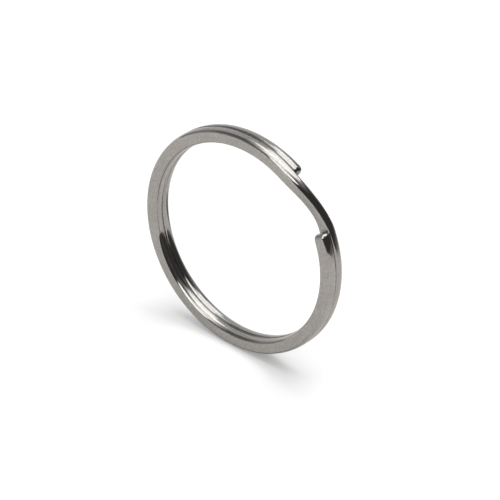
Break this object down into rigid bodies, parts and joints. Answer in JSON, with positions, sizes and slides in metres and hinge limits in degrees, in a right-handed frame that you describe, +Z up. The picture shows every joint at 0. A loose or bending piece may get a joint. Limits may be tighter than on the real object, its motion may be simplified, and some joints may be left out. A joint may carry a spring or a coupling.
{
  "type": "split key ring",
  "caption": "Split ring of flattened spring wire wound as two turns face to face, with free ends that spring apart to take keys.",
  "frame": {"origin": "centre of the ring, on its axis, in the plane where its two turns touch", "axes": "+Z up with the ring upright, as it hangs; Y along the ring's axis, with the front turn on the -Y side and the rear turn on the +Y side"},
  "size_m": [0.025, 0.0023, 0.025],
  "materials": {
    "wire": "nickel plated spring steel, satin outer faces and bright rolled edges"
  },
  "bodies": {
    "ring": {"front_turn": "wire", "crossover": "wire", "rear_turn": "wire"},
    "front_free_end": {"front_free_end": "wire"},
    "rear_free_end": {"rear_free_end": "wire"}
  },
  "joints": [
    {"name": "front_free_end_spring", "type": "hinge", "parent": "ring", "child": "front_free_end", "pos_m": [-0.00355, -0.0011, -0.01199], "axis": [0.7771, 0, -0.6293], "range_deg": [0, 6.42], "stiffness_Nm_per_rad": 1.6},
    {"name": "rear_free_end_spring", "type": "hinge", "parent": "ring", "child": "rear_free_end", "pos_m": [-0.0121, 0.0011, -0.00313], "axis": [-0.6018, 0, 0.7986], "range_deg": [0, 6.42], "stiffness_Nm_per_rad": 1.6}
  ]
}
